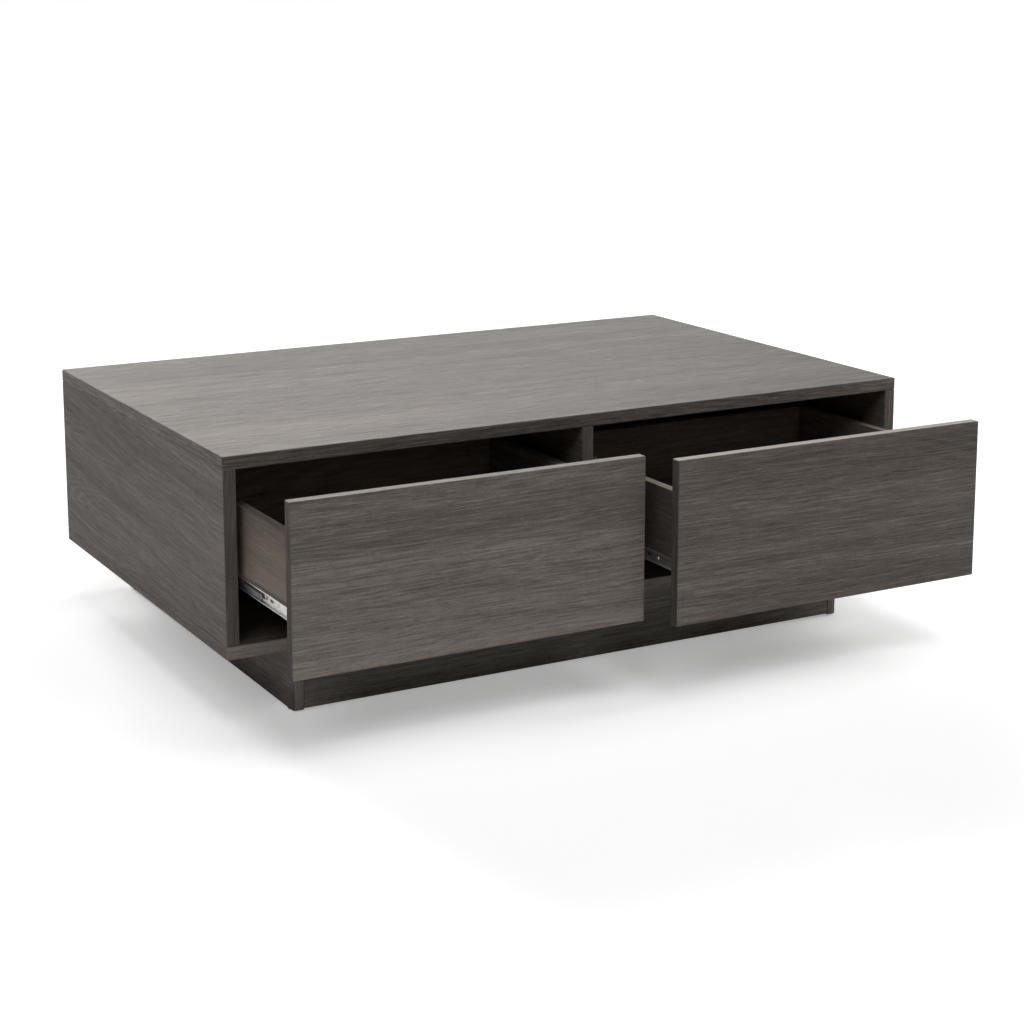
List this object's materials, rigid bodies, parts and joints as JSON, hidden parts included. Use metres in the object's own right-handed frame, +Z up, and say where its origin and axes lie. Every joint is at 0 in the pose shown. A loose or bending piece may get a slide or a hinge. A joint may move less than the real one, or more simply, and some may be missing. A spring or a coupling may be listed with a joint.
{
  "type": "coffee table",
  "caption": "Low rectangular coffee table on a recessed plinth, with handleless inset drawers side by side that slide out on full-extension ball runners.",
  "frame": {"origin": "on the floor at the centre of the table's footprint, which is the underside of the middle glide", "axes": "+X along the width to the right as seen from the front, +Y towards the back, so that the drawers slide out along -Y, and +Z up"},
  "size_m": [1.2, 0.986, 0.4],
  "materials": {
    "laminate": "taupe wood-grain laminate, satin",
    "plinth_laminate": "the same laminate in a darker tone, satin",
    "drawer_box": "warm brown-grey wood-grain laminate, matt",
    "drawer_bottom": "brown-grey laminated board, matt",
    "raw_wood": "bare softwood",
    "zinc_steel": "zinc-plated steel strip",
    "screw_steel": "zinc-plated screw steel",
    "black_plastic": "black plastic",
    "grey_plastic": "dark grey plastic"
  },
  "bodies": {
    "carcass": {"back_panel": "laminate", "bottom_panel": "laminate", "centre_divider": "laminate", "floor_glide_back_left": "black_plastic", "floor_glide_back_right": "black_plastic", "floor_glide_front_left": "black_plastic", "floor_glide_front_right": "black_plastic", "floor_glide_middle": "black_plastic", "left_drawer_left_runner_cabinet_member": "zinc_steel", "left_drawer_left_runner_push_catch": "grey_plastic", "left_drawer_right_runner_cabinet_member": "zinc_steel", "left_drawer_right_runner_push_catch": "grey_plastic", "left_side_panel": "laminate", "plinth_back_rail": "plinth_laminate", "plinth_block_back_left": "raw_wood", "plinth_block_back_right": "raw_wood", "plinth_block_front_left": "raw_wood", "plinth_block_front_right": "raw_wood", "plinth_front_rail": "plinth_laminate", "plinth_left_board": "plinth_laminate", "plinth_middle_rail": "plinth_laminate", "plinth_right_board": "plinth_laminate", "right_drawer_left_runner_cabinet_member": "zinc_steel", "right_drawer_left_runner_push_catch": "grey_plastic", "right_drawer_right_runner_cabinet_member": "zinc_steel", "right_drawer_right_runner_push_catch": "grey_plastic", "right_side_panel": "laminate", "top_panel": "laminate"},
    "left_drawer": {"left_drawer_back": "drawer_box", "left_drawer_bottom": "drawer_bottom", "left_drawer_front": "laminate", "left_drawer_front_screw_left": "screw_steel", "left_drawer_front_screw_right": "screw_steel", "left_drawer_left_runner_drawer_member": "zinc_steel", "left_drawer_left_side": "drawer_box", "left_drawer_right_runner_drawer_member": "zinc_steel", "left_drawer_right_side": "drawer_box", "left_drawer_sub_front": "drawer_box"},
    "left_inner_cages": {"left_drawer_left_runner_inner_ball_cage": "zinc_steel", "left_drawer_right_runner_inner_ball_cage": "zinc_steel"},
    "left_middle_members": {"left_drawer_left_runner_middle_member": "zinc_steel", "left_drawer_right_runner_middle_member": "zinc_steel"},
    "left_outer_cages": {"left_drawer_left_runner_outer_ball_cage": "zinc_steel", "left_drawer_right_runner_outer_ball_cage": "zinc_steel"},
    "right_drawer": {"right_drawer_back": "drawer_box", "right_drawer_bottom": "drawer_bottom", "right_drawer_front": "laminate", "right_drawer_front_screw_left": "screw_steel", "right_drawer_front_screw_right": "screw_steel", "right_drawer_left_runner_drawer_member": "zinc_steel", "right_drawer_left_side": "drawer_box", "right_drawer_right_runner_drawer_member": "zinc_steel", "right_drawer_right_side": "drawer_box", "right_drawer_sub_front": "drawer_box"},
    "right_inner_cages": {"right_drawer_left_runner_inner_ball_cage": "zinc_steel", "right_drawer_right_runner_inner_ball_cage": "zinc_steel"},
    "right_middle_members": {"right_drawer_left_runner_middle_member": "zinc_steel", "right_drawer_right_runner_middle_member": "zinc_steel"},
    "right_outer_cages": {"right_drawer_left_runner_outer_ball_cage": "zinc_steel", "right_drawer_right_runner_outer_ball_cage": "zinc_steel"}
  },
  "joints": [
    {"name": "left_drawer_slide", "type": "slide", "parent": "carcass", "child": "left_drawer", "axis": [0, -1, 0], "range_m": [-0.187, 0.213]},
    {"name": "left_middle_members_slide", "type": "slide", "parent": "carcass", "child": "left_middle_members", "axis": [0, -1, 0], "range_m": [-0.0935, 0.1065]},
    {"name": "left_outer_cages_slide", "type": "slide", "parent": "carcass", "child": "left_outer_cages", "axis": [0, -1, 0], "range_m": [-0.04675, 0.05325]},
    {"name": "left_inner_cages_slide", "type": "slide", "parent": "carcass", "child": "left_inner_cages", "axis": [0, -1, 0], "range_m": [-0.14025, 0.15975]},
    {"name": "right_drawer_slide", "type": "slide", "parent": "carcass", "child": "right_drawer", "axis": [0, -1, 0], "range_m": [-0.236, 0.164]},
    {"name": "right_middle_members_slide", "type": "slide", "parent": "carcass", "child": "right_middle_members", "axis": [0, -1, 0], "range_m": [-0.118, 0.082]},
    {"name": "right_outer_cages_slide", "type": "slide", "parent": "carcass", "child": "right_outer_cages", "axis": [0, -1, 0], "range_m": [-0.059, 0.041]},
    {"name": "right_inner_cages_slide", "type": "slide", "parent": "carcass", "child": "right_inner_cages", "axis": [0, -1, 0], "range_m": [-0.177, 0.123]}
  ],
  "couplings": [
    {"joint": "left_middle_members_slide", "follows": "left_drawer_slide", "ratio": 0.5},
    {"joint": "left_outer_cages_slide", "follows": "left_drawer_slide", "ratio": 0.25},
    {"joint": "left_inner_cages_slide", "follows": "left_drawer_slide", "ratio": 0.75},
    {"joint": "right_middle_members_slide", "follows": "right_drawer_slide", "ratio": 0.5},
    {"joint": "right_outer_cages_slide", "follows": "right_drawer_slide", "ratio": 0.25},
    {"joint": "right_inner_cages_slide", "follows": "right_drawer_slide", "ratio": 0.75}
  ]
}
